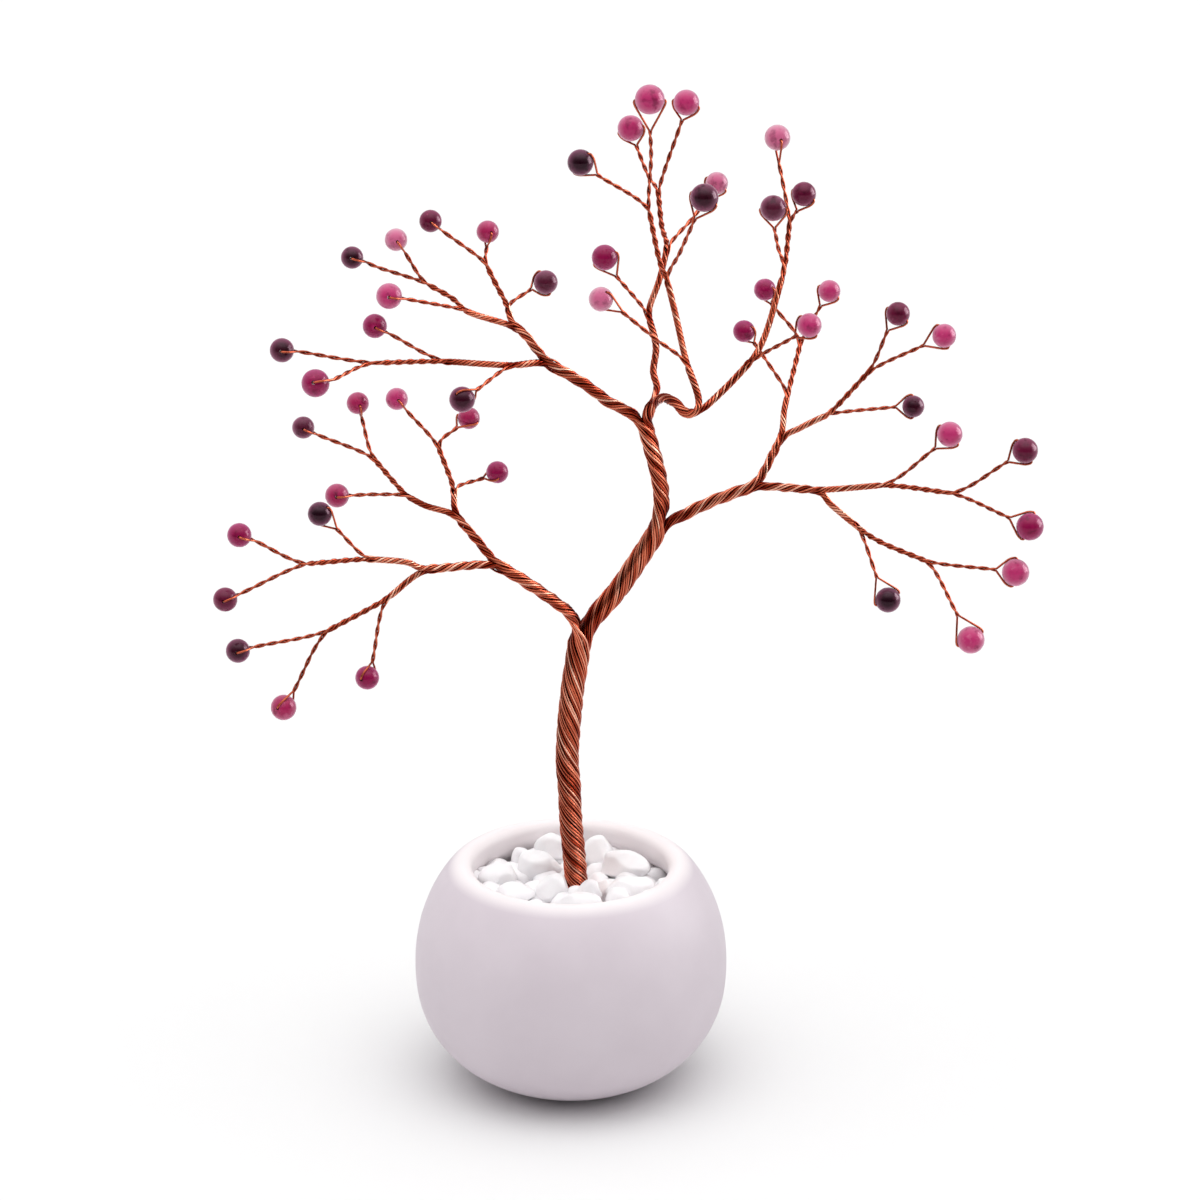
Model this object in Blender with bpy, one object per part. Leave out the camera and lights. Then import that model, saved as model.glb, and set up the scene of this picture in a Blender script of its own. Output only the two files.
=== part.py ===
"""Wire tree sculpture: copper wires twisted into a tree, a gemstone bead on each loop, in a round pot of pebbles.

Metres, +Z up. The origin is at the middle of the pot's underside, and the tree's front faces -Y.
"""

import math

import bmesh
import bpy
from mathutils import Matrix, Vector

MM = 0.001

# Pot: a squashed ball with a flat foot and a thick rolled lip
POT_RADIUS = 37.6 * MM
POT_HEIGHT = 55.2 * MM
POT_WAIST_HEIGHT = 29.0 * MM
POT_FOOT_CUT = 2.0 * MM
POT_BOWL_FULLNESS = 2.3
POT_SHOULDER_RISE = 37.6 * MM
POT_SHOULDER_FULLNESS = 2.1
POT_MOUTH_RADIUS = 23.5 * MM
POT_WALL = 4.5 * MM
POT_FLOOR = 5.0 * MM
POT_FLOOR_FLAT = 2.0 * MM
POT_HOLLOW_FULLNESS = 2.4
POT_FOOT_EDGE = 0.6 * MM
POT_LIP = 2.4 * MM
POT_LIP_ROUND = 1.4 * MM
POT_UNDER_LIP = 4.0 * MM
POT_SIDES = 24

# Copper wire, and how close twisted wires pack
WIRE = 0.51 * MM
PACKING = 0.8
TRUNK_ROOT_X = 1.5 * MM
TRUNK_ROOT_CLEARANCE = 0.5 * MM
ROOT_LENGTH = 16.0 * MM

# Twist of the bundles: a full turn of a wire, and how deep the grooves between the strands are
TRUNK_PITCH = 27.0 * MM
BOUGH_PITCH = 19.0 * MM
GROOVE = 0.07
BOUGH_WIRES = 20
TRUNK_STRANDS = 5
BOUGH_STRANDS = 4

# Faces along a tube: the longest step between its rings
THICK_STEP = 3.8 * MM
THIN_STEP = 7.0 * MM
TWIG_SIDES = 4
LIMB_SIDES = 4
LOOP_SIDES = 3

# Round gemstone beads, graded by diameter, with a drilled hole that the wire passes
SMALL = 5.2 * MM
MEDIUM = 5.55 * MM
LARGE = 5.9 * MM
LARGER = 6.35 * MM
LARGEST = 6.7 * MM
BEAD_HOLE = 1.1 * MM
BEAD_SIDES = 6
BEAD_BANDS = 4
LOOP_CLEARANCE = 0.3 * MM

# Tumbled stones in the pot's mouth, and the bed of smaller ones below them
PEBBLE_BED_TOP = 45.0 * MM
PEBBLE_BED_LUMP = 0.5 * MM
STONE_CLEARANCE = 0.35 * MM

COLOURS = {
    "ceramic": ((0.80, 0.74, 0.79), 0.42, 0.0),
    "copper": ((0.50, 0.15, 0.06), 0.32, 1.0),
    "quartz": ((0.85, 0.83, 0.84), 0.45, 0.0),
    "pale": ((0.62, 0.22, 0.30), 0.22, 0.0),
    "pink": ((0.58, 0.10, 0.21), 0.22, 0.0),
    "rose": ((0.44, 0.06, 0.13), 0.22, 0.0),
    "magenta": ((0.30, 0.02, 0.09), 0.22, 0.0),
    "dusky": ((0.16, 0.03, 0.06), 0.22, 0.0),
    "maroon": ((0.06, 0.01, 0.02), 0.22, 0.0),
}


def limb(steps, *shoots):
    """A bundle that forks at its end. A step is a length in mm, a heading and a lean away from the viewer."""
    return {"steps": steps, "shoots": shoots}


def twig(steps, loop, size, stone, roll):
    """A twisted pair of wires, and the loop at its end whose last step reaches the middle of a bead."""
    return {"steps": steps, "loop": loop, "size": size, "stone": stone, "roll": roll}


# Headings are in the plane of the picture, anticlockwise from +X. A roll of 0 shows a loop from its open
# side, and a roll of 90 shows it edge-on, with the bead's hole facing the viewer.
LEFT_LOW_BOUGH = limb(
    [(10, 128, -31), (11, 137, -21), (8.5, 143, -13)],
    limb(
        [(7.5, 132, 15), (7.5, 135, 24)],
        limb(
            [(7.5, 163, 8), (5, 154, 11)],
            twig([(7.5, 172, -16), (6, 176, -18)], loop=(3, 181, -1), size=MEDIUM, stone="rose", roll=80),
            limb(
                [(12, 138, 30)],
                twig([(15, 158, 8)], loop=(3, 151, -1), size=SMALL, stone="dusky", roll=80),
                twig([(11.5, 111, 38)], loop=(3, 103, -1), size=SMALL, stone="rose", roll=75),
            ),
        ),
        limb(
            [(6.5, 97, 37)],
            twig([(9.5, 8, 40)], loop=(3, 24, 0), size=SMALL, stone="magenta", roll=70),
            limb(
                [(11, 114, 34)],
                twig([(11.5, 134, 20)], loop=(3.5, 128, 0), size=SMALL, stone="rose", roll=75),
                twig([(7, 40, 35)], loop=(4.5, 22, 53), size=SMALL, stone="rose", roll=60),
            ),
        ),
    ),
    limb(
        [(16.5, 177, -18)],
        limb(
            [(6.5, 153, -25), (8.5, 172, -8)],
            twig([(10.5, 135, 0)], loop=(5, 136, 0), size=MEDIUM, stone="maroon", roll=20),
            limb(
                [(14.5, 179, -16)],
                twig([(14, 152, -8)], loop=(3, 159, 0), size=MEDIUM, stone="magenta", roll=80),
                twig([(17.5, 199, -20)], loop=(3, 202, 0), size=MEDIUM, stone="magenta", roll=80),
            ),
        ),
        limb(
            [(12, 211, -19)],
            twig([(16, 257, 0)], loop=(4, 252, 0), size=MEDIUM, stone="magenta", roll=60),
            limb(
                [(15.5, 204, -19)],
                twig([(17.5, 190, -9)], loop=(3.5, 194, -1), size=MEDIUM, stone="maroon", roll=80),
                twig([(16, 239, -18)], loop=(4.5, 239, 0), size=LARGE, stone="rose", roll=60),
            ),
        ),
    ),
)

LEFT_HIGH_BOUGH = limb(
    [(8, 154, 0), (8.5, 139, -14), (10, 146, -11)],
    limb(
        [(9, 131, 12), (3.5, 155, 35)],
        limb(
            [(5, 109, 39)],
            twig([(8, 28, 38)], loop=(3.5, 26, -1), size=MEDIUM, stone="dusky", roll=20),
            limb(
                [(6, 121, 29), (5.5, 118, 21)],
                twig([(13, 142, 0)], loop=(3, 139, 0), size=SMALL, stone="magenta", roll=80),
                twig([(5.5, 86, 55)], loop=(3, 86, 12), size=SMALL, stone="rose", roll=70),
            ),
        ),
        limb(
            [(9, 159, -12), (3.5, 151, -17)],
            twig([(15.5, 161, -26)], loop=(3.5, 170, -1), size=LARGE, stone="pink", roll=80),
            limb(
                [(4.5, 146, 40), (7, 154, 17)],
                twig([(8.5, 125, 14)], loop=(3.5, 123, -1), size=SMALL, stone="pale", roll=80),
                twig([(12.5, 170, 29), (4.5, 168, 36)], loop=(3, 162, 4), size=SMALL, stone="maroon", roll=80),
            ),
        ),
    ),
    limb(
        [(9.5, 174, -26)],
        twig([(12, 204, -41)], loop=(3.5, 214, -1), size=LARGE, stone="maroon", roll=40),
        limb(
            [(15.5, 173, -11)],
            twig([(15, 156, 12)], loop=(3, 150, -2), size=MEDIUM, stone="magenta", roll=80),
            limb(
                [(16.5, 177, -14)],
                twig([(17.5, 172, 3)], loop=(3.5, 176, 2), size=MEDIUM, stone="maroon", roll=80),
                twig([(13, 188, -44)], loop=(3.5, 192, 1), size=LARGER, stone="magenta", roll=70),
            ),
        ),
    ),
)

REAR_TOP_LIMB = limb(
    [(4, 78, 48), (3.5, 105, 17), (6, 84, 10), (7.5, 104, 0)],
    twig([(13, 126, -13)], loop=(5, 121, -1), size=LARGE, stone="magenta", roll=10),
    limb(
        [(8.5, 72, 14), (7.5, 75, 22)],
        twig([(9.5, 44, 33), (5.5, 47, 32)], loop=(5, 59, 1), size=SMALL, stone="rose", roll=20),
        limb(
            [(7, 102, -25), (8, 96, -6)],
            twig([(17.5, 72, 6)], loop=(4, 77, 1), size=LARGE, stone="magenta", roll=15),
            twig([(6.5, 116, -29), (8, 110, -14)], loop=(4, 108, 0), size=LARGE, stone="pink", roll=15),
        ),
    ),
)

FRONT_TOP_LIMB = limb(
    [(4, 92, 15), (8, 109, 0)],
    twig([(10, 138, -12), (10, 139, -5)], loop=(5.5, 148, -1), size=MEDIUM, stone="pale", roll=30),
    limb(
        [(10.5, 103, 5), (9, 104, 13)],
        twig([(9, 70, -26), (10.5, 70, -23)], loop=(5, 67, 1), size=LARGER, stone="maroon", roll=25),
        limb(
            [(5, 113, 23), (11.5, 102, 10)],
            twig([(16, 141, -18)], loop=(4.5, 143, 0), size=LARGE, stone="maroon", roll=15),
            twig([(12, 88, -4), (7.5, 92, -16)], loop=(7, 91, 0), size=LARGEST, stone="pink", roll=0),
        ),
    ),
)

HOOK_RIGHT_LIMB = limb(
    [(9, 37, 27), (8, 45, 14)],
    twig([(13.5, 37, -22)], loop=(4, 40, 1), size=MEDIUM, stone="pink", roll=20),
    limb(
        [(7.5, 59, 23), (14, 73, 17)],
        twig([(7, 101, -9), (5.5, 101, -21)], loop=(4.5, 94, 0), size=LARGE, stone="dusky", roll=15),
        limb(
            [(11, 83, 10)],
            twig([(5, 68, -22)], loop=(4, 70, -1), size=MEDIUM, stone="dusky", roll=30),
            twig([(10, 99, 18), (4.5, 102, 12)], loop=(6, 94, 0), size=LARGE, stone="pale", roll=75),
        ),
    ),
)

HOOK = limb(
    [(3, 60, -22), (3, 65, -19)],
    REAR_TOP_LIMB,
    limb(
        [(5, 43, -56), (4.5, 12, -60), (3, 323, -41), (2.5, 328, -24), (2, 22, 2)],
        FRONT_TOP_LIMB,
        HOOK_RIGHT_LIMB,
    ),
)

RIGHT_BOUGH = limb(
    [(3.5, 5, 17), (6.5, 25, 9), (6.5, 23, 0), (6.5, 20, 0)],
    limb(
        [(12, 59, 20)],
        limb(
            [(7.5, 79, 32), (4, 76, 29)],
            twig([(10.5, 126, 29), (4.5, 128, 26)], loop=(3.5, 130, -1), size=SMALL, stone="magenta", roll=30),
            limb(
                [(12.5, 73, 34)],
                twig([(9.5, 126, 24), (3, 136, 40)], loop=(3.5, 114, 3), size=SMALL, stone="magenta", roll=40),
                twig([(10.5, 62, 11)], loop=(4, 61, 0), size=SMALL, stone="pink", roll=20),
            ),
        ),
        limb(
            [(6, 31, 9), (7, 25, 8)],
            limb(
                [(13.5, 47, 4)],
                twig([(11, 65, 11)], loop=(4.5, 60, -1), size=MEDIUM, stone="dusky", roll=25),
                twig([(15.5, 32, -15)], loop=(5, 26, 1), size=MEDIUM, stone="pink", roll=15),
            ),
            twig([(17, 1, 17)], loop=(4, 1, 0), size=SMALL, stone="maroon", roll=15),
        ),
    ),
    limb(
        [(14, 0, -12)],
        limb(
            [(16.5, 9, -14)],
            twig([(15, 35, 7)], loop=(4.5, 46, 1), size=LARGE, stone="pink", roll=20),
            limb(
                [(16, -2, -15)],
                twig([(15.5, 33, -7)], loop=(4.5, 35, -1), size=LARGE, stone="dusky", roll=15),
                twig([(16.5, -12, -37)], loop=(5, -24, 0), size=LARGER, stone="magenta", roll=15),
            ),
        ),
        limb(
            [(5.5, -39, -12), (8, -38, -14)],
            twig([(13, -67, -33)], loop=(6, -64, 1), size=LARGE, stone="maroon", roll=10),
            limb(
                [(7, -24, -34), (11.5, -17, -21)],
                twig([(16.5, -1, -18)], loop=(4.5, -9, 1), size=LARGER, stone="pink", roll=15),
                twig([(16, -55, -43)], loop=(6.5, -62, -1), size=LARGER, stone="pink", roll=10),
            ),
        ),
    ),
)

TRUNK = limb(
    [(10.5, 93, 0), (10.5, 95, 0), (10.5, 92, 0), (5, 96, 0), (15.5, 86, 0), (10, 82, 0), (9, 82, 0)],
    LEFT_LOW_BOUGH,
    limb(
        [(3, 48, 20), (6, 34, 9), (11.5, 57, 5), (6, 57, 0), (5.5, 61, 0)],
        limb([(10, 95, -6), (8, 103, -7), (8.5, 105, -6)], LEFT_HIGH_BOUGH, HOOK),
        RIGHT_BOUGH,
    ),
)

# Each stone that shows: its middle, its length, width and height, all in mm, and its turn in degrees
PEBBLES = [
    ((-17.6, 3.6, 49.4), (9.6, 7.4, 6.8), 20),
    ((-12.9, -5.4, 48.9), (9.6, 6.4, 5.8), -12),
    ((-12.2, 16.4, 48.8), (5.0, 4.6, 6.0), 10),
    ((-5.0, 18.6, 50.2), (8.4, 6.6, 8.6), 0),
    ((-7.4, 8.8, 49.6), (10.6, 7.0, 7.6), -8),
    ((-4.2, -5.6, 50.0), (8.2, 6.0, 8.2), 25),
    ((4.4, -5.4, 49.6), (6.2, 3.4, 6.2), -18),
    ((2.4, -11.2, 48.8), (10.4, 5.4, 6.0), 0),
    ((6.8, 17.2, 50.0), (8.0, 8.0, 8.6), 30),
    ((13.4, 8.6, 50.0), (12.6, 8.0, 8.4), -20),
    ((14.2, -2.4, 48.9), (12.0, 6.8, 6.2), 12),
]
SMALL_PEBBLES = [
    ((-17.4, 12.8, 46.6), (4.6, 4.4, 7.0), 0),
    ((-9.6, -12.6, 45.4), (6.0, 4.2, 5.0), 10),
    ((10.2, -9.4, 45.6), (4.4, 3.8, 5.4), 30),
    ((7.6, 2.6, 45.2), (5.0, 5.0, 5.0), 0),
]


def clear_scene():
    for obj in list(bpy.data.objects):
        bpy.data.objects.remove(obj, do_unlink=True)


def material(name):
    """The finish of one sub-part, from its colour, roughness and metallic value."""
    found = bpy.data.materials.get(name)
    if found:
        return found
    colour, roughness, metallic = COLOURS[name]
    made = bpy.data.materials.new(name)
    made.use_nodes = True
    shader = made.node_tree.nodes["Principled BSDF"]
    shader.inputs["Base Color"].default_value = (*colour, 1)
    shader.inputs["Roughness"].default_value = roughness
    shader.inputs["Metallic"].default_value = metallic
    made.diffuse_color = (*colour, 1)
    return made


def new_object(name, bm, finish, smooth=True):
    mesh = bpy.data.meshes.new(name)
    bm.to_mesh(mesh)
    bm.free()
    if smooth:
        mesh.shade_smooth()
        mesh.set_sharp_from_angle(angle=math.radians(50))
    obj = bpy.data.objects.new(name, mesh)
    obj.data.materials.append(material(finish))
    bpy.context.scene.collection.objects.link(obj)
    return obj


def union(base, others):
    """Joins closed shapes that cross each other into one skin."""
    group = bpy.data.collections.new(base.name + "_joined")
    bpy.context.scene.collection.children.link(group)
    for other in others:
        other.hide_render = True
        other.display_type = "WIRE"
        bpy.context.scene.collection.objects.unlink(other)
        group.objects.link(other)
    join = base.modifiers.new("Join", "BOOLEAN")
    join.operation = "UNION"
    join.operand_type = "COLLECTION"
    join.solver = "MANIFOLD"
    join.collection = group


def turned(name, profile, sides, finish):
    """A closed profile of (radius, height) points, outer side upwards, turned about Z."""
    bm = bmesh.new()
    rings = []
    for radius, height in profile:
        count = sides if radius > 0 else 1
        angles = [math.tau * i / count for i in range(count)]
        rings.append([bm.verts.new((radius * math.cos(a), radius * math.sin(a), height)) for a in angles])
    for low, high in zip(rings, rings[1:] + rings[:1]):
        band(bm, low, high)
    return new_object(name, bm, finish)


def band(bm, low, high):
    """Faces between two rings, either of which may be one point on the axis."""
    count = max(len(low), len(high))
    if count == 1:
        return
    for i in range(count):
        j = (i + 1) % count
        corners = [low[i % len(low)], low[j % len(low)], high[j % len(high)], high[i % len(high)]]
        bm.faces.new(list(dict.fromkeys(corners)))


def pot_outside(height):
    """The radius of the pot's outside at a height: a full bowl below the waist, a rounder shoulder above."""
    rise = height - POT_WAIST_HEIGHT
    reach, fullness = POT_WAIST_HEIGHT + POT_FOOT_CUT, POT_BOWL_FULLNESS
    if rise > 0:
        reach, fullness = POT_SHOULDER_RISE, POT_SHOULDER_FULLNESS
    return POT_RADIUS * (1 - (abs(rise) / reach) ** fullness) ** (1 / fullness)


def pot_inside(height):
    """The radius of the hollow at a height, a wall's thickness in from the outside, above a flat floor."""
    if height > POT_WAIST_HEIGHT:
        return pot_outside(height) - POT_WALL
    drop = (POT_WAIST_HEIGHT - height) / (POT_WAIST_HEIGHT - POT_FLOOR + POT_FLOOR_FLAT)
    return (POT_RADIUS - POT_WALL) * (1 - drop**POT_HOLLOW_FULLNESS) ** (1 / POT_HOLLOW_FULLNESS)


def hollow():
    """The inside of the pot from its floor up to the lip, as points of radius and height."""
    rise = POT_HEIGHT - POT_UNDER_LIP - POT_FLOOR
    heights = [POT_FLOOR + rise * t for t in (0, 0.15, 0.5, 1)]
    return [(pot_inside(z), z) for z in heights]


def make_pot():
    shoulder = POT_HEIGHT - POT_LIP
    outside = [POT_FOOT_EDGE + (shoulder - POT_FOOT_EDGE) * t for t in (0, 0.12, 0.3, 0.52, 0.74, 0.9, 1)]
    lip_width = pot_outside(shoulder) - POT_MOUTH_RADIUS
    lip = [(POT_MOUTH_RADIUS + lip_width * share, POT_HEIGHT - POT_LIP * drop)
           for share, drop in ((0.67, 0.08), (0.36, 0))]
    profile = [(0, 0), (pot_outside(0) - POT_FOOT_EDGE, 0)]
    profile += [(pot_outside(z), z) for z in outside]
    profile += [*lip, (POT_MOUTH_RADIUS, POT_HEIGHT - POT_LIP_ROUND), *reversed(hollow()), (0, POT_FLOOR)]
    return turned("pot", profile, POT_SIDES, "ceramic")


def bundle_radius(wires):
    return WIRE / 2 * math.sqrt(wires / PACKING)


def count_wires(shoot):
    if "loop" in shoot:
        return 2
    return sum(count_wires(child) for child in shoot["shoots"])


def direction(heading, lean):
    across, back = math.radians(heading), math.radians(lean)
    return Vector((math.cos(back) * math.cos(across), math.sin(back), math.cos(back) * math.sin(across)))


def walk(start, steps):
    """The points that a run of steps reaches, from its start."""
    points = [start]
    for length, heading, lean in steps:
        points.append(points[-1] + length * MM * direction(heading, lean))
    return points


def smooth_path(points, before, spacing):
    """A curve through the points that leaves its start half way between the parent's way and its own."""
    after = points[-1] + (points[-1] - points[-2])
    knots = [before, *points, after]
    path = [points[0]]
    for a, b, c, d in zip(knots, knots[1:], knots[2:], knots[3:]):
        pieces = max(1, round((c - b).length / spacing))
        for i in range(1, pieces + 1):
            t = i / pieces
            path.append(0.5 * (2 * b + (c - a) * t + (2 * a - 5 * b + 4 * c - d) * t**2
                               + (3 * b - a - 3 * c + d) * t**3))
    return path


def tangents(path):
    ahead = path[1:] + path[-1:]
    behind = path[:1] + path[:-1]
    return [(b - a).normalized() for a, b in zip(behind, ahead)]


def sweep(name, path, radii, sides, strands=0, pitch=1.0):
    """A closed tube along a path. With strands, its section has that many ridges, which turn once a pitch."""
    bm = bmesh.new()
    ways = tangents(path)
    side = ways[0].orthogonal().normalized()
    turn = 0.0
    rings = []
    for i, (point, way, radius) in enumerate(zip(path, ways, radii)):
        side = (side - side.dot(way) * way).normalized()
        up = way.cross(side)
        if i:
            turn -= math.tau * (point - path[i - 1]).length / pitch
        ring = []
        for k in range(sides):
            angle = math.tau * k / sides + (turn if strands else 0)
            reach = radius * (1 + GROOVE * (-1) ** k) if strands else radius
            ring.append(bm.verts.new(point + reach * (math.cos(angle) * side + math.sin(angle) * up)))
        rings.append(ring)
    for low, high in zip(rings, rings[1:]):
        band(bm, low, high)
    bm.faces.new(reversed(rings[0]))
    bm.faces.new(rings[-1])
    return new_object(name, bm, "copper")


def rounded_end(path, radius):
    """The path and radii of a bundle that closes a little past its fork, so that its shoots grow out of it."""
    way = (path[-1] - path[-2]).normalized()
    return path + [path[-1] + 0.5 * radius * way], [radius] * len(path) + [0.6 * radius]


def grow(tubes, beads, shoot, start, before):
    """Makes a shoot and all that grows from it, and lists its tubes and beads."""
    wires = count_wires(shoot)
    radius = bundle_radius(wires)
    if "loop" in shoot:
        grow_twig(tubes, beads, shoot, start, before, radius)
        return
    points = walk(start, shoot["steps"])
    thick = wires >= BOUGH_WIRES
    path = smooth_path(points, before, THICK_STEP if thick else THIN_STEP)
    path, radii = rounded_end(path, radius)
    if thick:
        tubes.append(sweep("bough", path, radii, 2 * BOUGH_STRANDS, BOUGH_STRANDS, BOUGH_PITCH))
    else:
        tubes.append(sweep("limb", path, radii, LIMB_SIDES))
    for child in shoot["shoots"]:
        grow(tubes, beads, child, points[-1], points[-2])


def grow_twig(tubes, beads, shoot, start, before, radius):
    points = walk(start, [*shoot["steps"], shoot["loop"]])
    centre = points.pop()
    back = -direction(*shoot["loop"][1:])
    reach = max(shoot["loop"][0] * MM, 1.08 * loop_radius(shoot["size"]))
    points[-1] = centre + reach * back
    path = smooth_path(points, before, THIN_STEP)
    tubes.append(sweep("twig", path, [radius] * len(path), TWIG_SIDES))
    roll = math.radians(shoot["roll"])
    in_picture = back.cross(Vector((0, 1, 0))).normalized()
    hole = math.cos(roll) * in_picture + math.sin(roll) * back.cross(in_picture)
    tubes.append(make_loop(centre, hole, back, reach, shoot["size"]))
    beads.append((centre, hole, shoot["size"], shoot["stone"]))


def loop_radius(size):
    """How far from a bead's middle the wire runs round it."""
    return size / 2 + LOOP_CLEARANCE + WIRE / 2


def make_loop(centre, hole, back, reach, size):
    """The wire from the twig's end, round one side of the bead, through its hole and back."""
    round_bead = loop_radius(size)
    leaves = math.acos(round_bead / reach)
    hugs = 2 if leaves < math.radians(45) else 1
    turns = [leaves + (math.pi / 2 - leaves) * i / hugs for i in range(hugs + 1)]
    one_side = [(round_bead * math.sin(a), round_bead * math.cos(a)) for a in turns]
    flat = [(0.12 * WIRE, reach + 0.8 * WIRE), *one_side]
    flat += [(-u, v) for u, v in reversed(flat)]
    path = [centre + u * hole + v * back for u, v in flat]
    return sweep("loop", path, [WIRE / 2] * len(path), LOOP_SIDES)


def make_tree():
    """The trunk from the pot's floor up, and every shoot on it, joined into one skin."""
    foot = Vector((TRUNK_ROOT_X, 0, PEBBLE_BED_TOP))
    root = foot - Vector((0, 0, ROOT_LENGTH - TRUNK_ROOT_CLEARANCE))
    points = [root, *walk(foot, TRUNK["steps"])]
    radius = bundle_radius(count_wires(TRUNK))
    below = root - Vector((0, 0, THICK_STEP))
    path, radii = rounded_end(smooth_path(points, below, THICK_STEP), radius)
    trunk = sweep("wire_tree", path, radii, 2 * TRUNK_STRANDS, TRUNK_STRANDS, TRUNK_PITCH)
    tubes, beads = [], []
    for child in TRUNK["shoots"]:
        grow(tubes, beads, child, points[-1], points[-2])
    union(trunk, tubes)
    return beads


def make_bead(number, centre, hole, size, stone):
    """A ball with a straight hole, its axis turned to the way the wire passes."""
    edge = math.acos(BEAD_HOLE / size)
    bands = [edge * (2 * i / BEAD_BANDS - 1) for i in range(BEAD_BANDS + 1)]
    profile = [(size / 2 * math.cos(a), size / 2 * math.sin(a)) for a in bands]
    bead = turned(f"bead_{number:02d}", profile, BEAD_SIDES, stone)
    bead.location = centre
    bead.rotation_euler = hole.to_track_quat("Z", "Y").to_euler()


def make_stone(name, place, size, turn, number, finer=2, clearance=STONE_CLEARANCE):
    """A tumbled stone: a ball pressed to its size, with a few broad flats worn on it."""
    bm = bmesh.new()
    found = bmesh.ops.create_icosphere(bm, subdivisions=finer, radius=0.5)["verts"]
    scale = Matrix.Diagonal([s * MM - clearance for s in size])
    spin = Matrix.Rotation(math.radians(turn), 3, "Z")
    for vert in found:
        x, y, z = 6 * vert.co
        worn = 1 - 0.05 * (1 + math.sin(x + 1.7 * number) * math.cos(y + 2.3 * number + 0.5 * z))
        vert.co = spin @ scale @ (worn * vert.co) + MM * Vector(place)
    return new_object(name, bm, "quartz")


def make_pebbles():
    for number, (place, size, turn) in enumerate(PEBBLES, 1):
        make_stone(f"pebble_{number:02d}", place, size, turn, number)


def bed_wall():
    """The side of the pebble bed: the pot's inside, moved in, up to the bed's top."""
    inside = hollow()
    below = [point for point in inside if point[1] < PEBBLE_BED_TOP]
    low, high = below[-1], inside[len(below)]
    share = (PEBBLE_BED_TOP - low[1]) / (high[1] - low[1])
    below.append((low[0] + share * (high[0] - low[0]), PEBBLE_BED_TOP))
    return [(radius - 2 * STONE_CLEARANCE, max(z, POT_FLOOR + STONE_CLEARANCE)) for radius, z in below]


def make_pebble_bed():
    """The stones packed below, as one mass round the wires, with the small ones that show on top of it."""
    pocket = bundle_radius(count_wires(TRUNK)) * (1 + GROOVE) + STONE_CLEARANCE + TRUNK_ROOT_X
    wall = bed_wall()
    rim = wall[-1][0]
    lumps = [(rim * t, PEBBLE_BED_TOP + PEBBLE_BED_LUMP * s) for t, s in ((0.75, 1), (0.45, -1))]
    profile = [(0, wall[0][1]), *wall, *lumps]
    profile += [(pocket, PEBBLE_BED_TOP), (pocket, PEBBLE_BED_TOP - ROOT_LENGTH), (0, PEBBLE_BED_TOP - ROOT_LENGTH)]
    bed = turned("pebble_bed", profile, POT_SIDES, "quartz")
    small = []
    for number, (place, size, turn) in enumerate(SMALL_PEBBLES, 1):
        small.append(make_stone(f"small_pebble_{number}", place, size, turn, number, 1, 0))
    union(bed, small)


clear_scene()
make_pot()
bead_list = make_tree()
for bead_number, bead_facts in enumerate(bead_list, 1):
    make_bead(bead_number, *bead_facts)
make_pebble_bed()
make_pebbles()
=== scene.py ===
import math
import random

import bpy
import numpy as np
from mathutils import Matrix, Vector


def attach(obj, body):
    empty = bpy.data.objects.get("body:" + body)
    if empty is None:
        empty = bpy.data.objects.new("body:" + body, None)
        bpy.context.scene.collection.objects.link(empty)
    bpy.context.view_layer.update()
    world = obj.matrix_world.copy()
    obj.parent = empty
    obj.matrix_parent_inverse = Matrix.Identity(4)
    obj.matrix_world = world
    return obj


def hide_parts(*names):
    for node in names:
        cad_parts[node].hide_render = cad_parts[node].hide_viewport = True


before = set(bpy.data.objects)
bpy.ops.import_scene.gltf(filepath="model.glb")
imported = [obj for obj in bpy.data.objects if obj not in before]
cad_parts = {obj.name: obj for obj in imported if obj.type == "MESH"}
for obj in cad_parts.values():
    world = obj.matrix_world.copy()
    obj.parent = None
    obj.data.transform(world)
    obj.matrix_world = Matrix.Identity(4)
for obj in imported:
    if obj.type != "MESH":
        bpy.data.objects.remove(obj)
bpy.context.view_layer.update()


# The pot. Round and hollow, slip-cast in white clay, with a matt glaze that leans to lilac, a thick rounded
# lip and a flat foot that it stands on.
MM = 0.001
POT_RADIUS = 37.6 * MM
POT_WAIST_HEIGHT = 29.0 * MM
POT_BOWL_DEPTH = 31.0 * MM
POT_BOWL_FULLNESS = 2.3
POT_SHOULDER_RISE = 37.6 * MM
POT_SHOULDER_FULLNESS = 2.1
POT_WALL = 4.5 * MM
POT_WALL_AT_LEAST = 3 * MM
POT_FLOOR = 5.0 * MM
POT_HOLLOW_BELOW_FLOOR = 2 * MM
POT_HOLLOW_FULLNESS = 2.4
POT_FOOT_RECESS = 0.5 * MM
POT_FOOT = [(3.2, 0.5), (2.6, 0.1), (1.6, 0), (0.7, 0.05)]
POT_LIP = [(29.6, 53.1), (28.4, 54.25), (27.1, 54.95), (25.8, 55.2), (24.7, 54.95), (23.9, 54.3),
           (23.52, 53.4), (23.52, 52.4), (23.6, 51.3)]
POT_THROAT = [(23.9, 50.0), (24.8, 48.4), (26.4, 46.4), (28.2, 44.4)]
POT_TURNS = 144
POT_CREASE = 40
# Where the painted light on the lip begins and how far it fades in: the lip and the inside are painted paler
# than the body.
LIP_PAINTED_LIGHT_FROM = 53.2 * MM
LIP_PAINTED_LIGHT_FADE = 2.0 * MM
SEAM_GAP = 1e-6
MIX_FIRST, MIX_SECOND, MIX_RESULT = 6, 7, 2


def take_up(*objects):
    """Selects these objects and nothing else, with the first as the one to work on."""
    bpy.ops.object.select_all(action="DESELECT")
    for obj in objects:
        obj.select_set(True)
    bpy.context.view_layer.objects.active = objects[0]


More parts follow.
